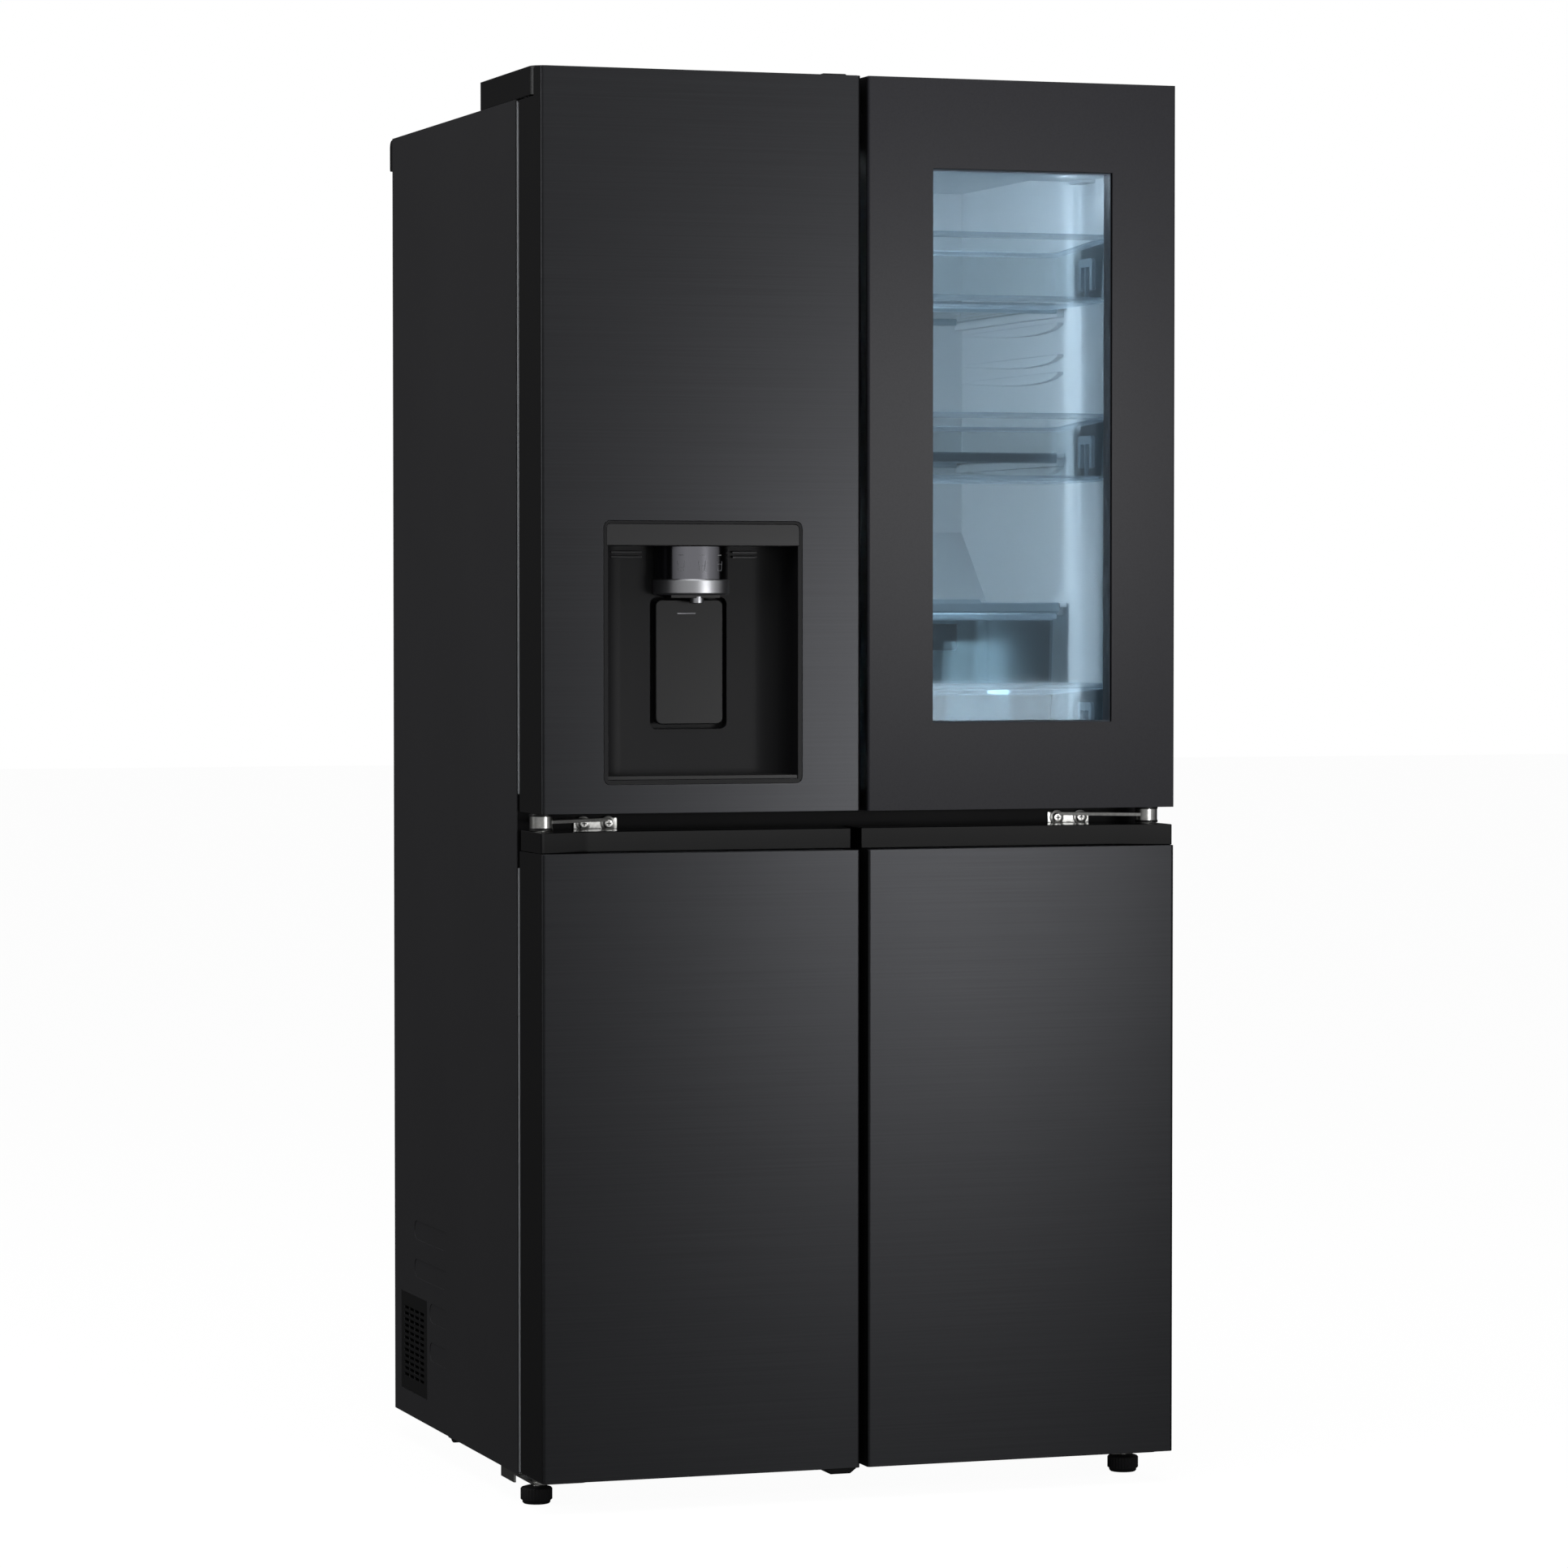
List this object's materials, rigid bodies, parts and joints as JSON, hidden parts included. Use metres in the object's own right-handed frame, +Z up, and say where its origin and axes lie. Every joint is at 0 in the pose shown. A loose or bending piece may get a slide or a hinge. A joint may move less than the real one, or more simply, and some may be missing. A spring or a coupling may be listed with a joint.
{
  "type": "french door refrigerator",
  "caption": "Dark brushed steel refrigerator with upper french doors, a dispenser and a window, swinging freezer doors below, and levelling feet.",
  "frame": {"origin": "on the floor, in the middle of the overall width and depth", "axes": "+Z up, the doors face -Y, +X to the right seen from the front"},
  "size_m": [0.835, 0.73, 1.787],
  "materials": {
    "foam": "rigid insulating foam, hidden",
    "case_steel": "fine textured dark grey paint",
    "zinc": "bright zinc plate",
    "lining": "satin pale grey plastic",
    "clear_tray": "clear plastic",
    "shelf_glass": "clear toughened glass",
    "dark_glass": "smoked mirror-like glass",
    "door_steel": "dark steel with a fine horizontal brushed grain",
    "black_plastic": "satin black plastic",
    "gloss_black": "gloss black plastic",
    "dark_chrome": "dark polished plating",
    "seal": "soft magnetic door seal",
    "cast_black": "black painted pressure can"
  },
  "bodies": {
    "cabinet": {"back_panel": "zinc", "base_plate": "zinc", "bottom_centre_cap": "black_plastic", "bottom_hinge_left": "zinc", "bottom_hinge_right": "zinc", "compressor": "cast_black", "crisper_drawer": "clear_tray", "crisper_shelf": "shelf_glass", "foam_body": "foam", "freezer_drawer_left_lower": "clear_tray", "freezer_drawer_left_upper": "clear_tray", "freezer_drawer_right_lower": "clear_tray", "freezer_drawer_right_upper": "clear_tray", "freezer_liner": "lining", "fridge_liner": "lining", "front_rail": "case_steel", "hinge_cover_left": "black_plastic", "hinge_cover_right": "black_plastic", "machine_cover": "black_plastic", "middle_hinge_left": "zinc", "middle_hinge_right": "zinc", "middle_shelf": "shelf_glass", "outer_case": "case_steel", "rear_spacer_left": "black_plastic", "rear_spacer_right": "black_plastic", "side_grille": "black_plastic", "top_centre_cap": "black_plastic", "top_hinge_left": "zinc", "top_hinge_right": "zinc", "upper_shelf": "shelf_glass"},
    "fridge_door_left": {"fridge_door_left_skin": "door_steel", "fridge_door_left_core": "lining", "fridge_door_left_gasket": "seal", "fridge_door_left_ice_room": "lining", "dispenser_housing": "black_plastic", "dispenser_panel": "gloss_black", "dispenser_chute": "dark_chrome", "drip_tray": "black_plastic"},
    "centre_flap": {"centre_flap": "black_plastic"},
    "dispenser_paddle": {"dispenser_paddle": "gloss_black"},
    "fridge_door_right": {"fridge_door_right_frame": "black_plastic", "fridge_door_right_core": "lining", "fridge_door_right_glass": "dark_glass", "fridge_door_right_inner_glass": "shelf_glass", "fridge_door_right_gasket": "seal", "door_bin_lower": "clear_tray", "door_bin_middle": "clear_tray", "door_bin_upper": "clear_tray"},
    "freezer_door_left": {"freezer_door_left_skin": "door_steel", "freezer_door_left_core": "lining", "freezer_door_left_gasket": "seal", "freezer_door_left_grip": "black_plastic"},
    "freezer_door_right": {"freezer_door_right_skin": "door_steel", "freezer_door_right_core": "lining", "freezer_door_right_gasket": "seal", "freezer_door_right_grip": "black_plastic"},
    "foot_left": {"foot_left": "black_plastic"},
    "foot_right": {"foot_right": "black_plastic"},
    "roller_left": {"roller_left": "black_plastic"},
    "roller_right": {"roller_right": "black_plastic"}
  },
  "joints": [
    {"name": "fridge_door_left_hinge", "type": "hinge", "parent": "cabinet", "child": "fridge_door_left", "pos_m": [-0.4025, -0.309, 1.3], "axis": [0, 0, -1], "range_deg": [0, 115]},
    {"name": "fridge_door_right_hinge", "type": "hinge", "parent": "cabinet", "child": "fridge_door_right", "pos_m": [0.4025, -0.309, 1.3], "axis": [0, 0, 1], "range_deg": [0, 115]},
    {"name": "freezer_door_left_hinge", "type": "hinge", "parent": "cabinet", "child": "freezer_door_left", "pos_m": [-0.4025, -0.309, 0.42], "axis": [0, 0, -1], "range_deg": [0, 115]},
    {"name": "freezer_door_right_hinge", "type": "hinge", "parent": "cabinet", "child": "freezer_door_right", "pos_m": [0.4025, -0.309, 0.42], "axis": [0, 0, 1], "range_deg": [0, 115]},
    {"name": "centre_flap_hinge", "type": "hinge", "parent": "fridge_door_left", "child": "centre_flap", "pos_m": [-0.0358, -0.2442, 1.28], "axis": [0, 0, 1], "range_deg": [0, 90]},
    {"name": "paddle_hinge", "type": "hinge", "parent": "fridge_door_left", "child": "dispenser_paddle", "pos_m": [-0.21, -0.304, 1.121], "axis": [1, 0, 0], "range_deg": [0, 5], "stiffness_Nm_per_rad": 0.8},
    {"name": "foot_left_screw", "type": "hinge", "parent": "cabinet", "child": "foot_left", "pos_m": [-0.394, -0.255, 0.01], "axis": [0, 0, 1], "continuous": true},
    {"name": "foot_right_screw", "type": "hinge", "parent": "cabinet", "child": "foot_right", "pos_m": [0.394, -0.255, 0.01], "axis": [0, 0, 1], "continuous": true},
    {"name": "roller_left_axle", "type": "hinge", "parent": "cabinet", "child": "roller_left", "pos_m": [-0.3555, 0.249, 0.015], "axis": [1, 0, 0], "continuous": true},
    {"name": "roller_right_axle", "type": "hinge", "parent": "cabinet", "child": "roller_right", "pos_m": [0.3555, 0.249, 0.015], "axis": [1, 0, 0], "continuous": true}
  ]
}
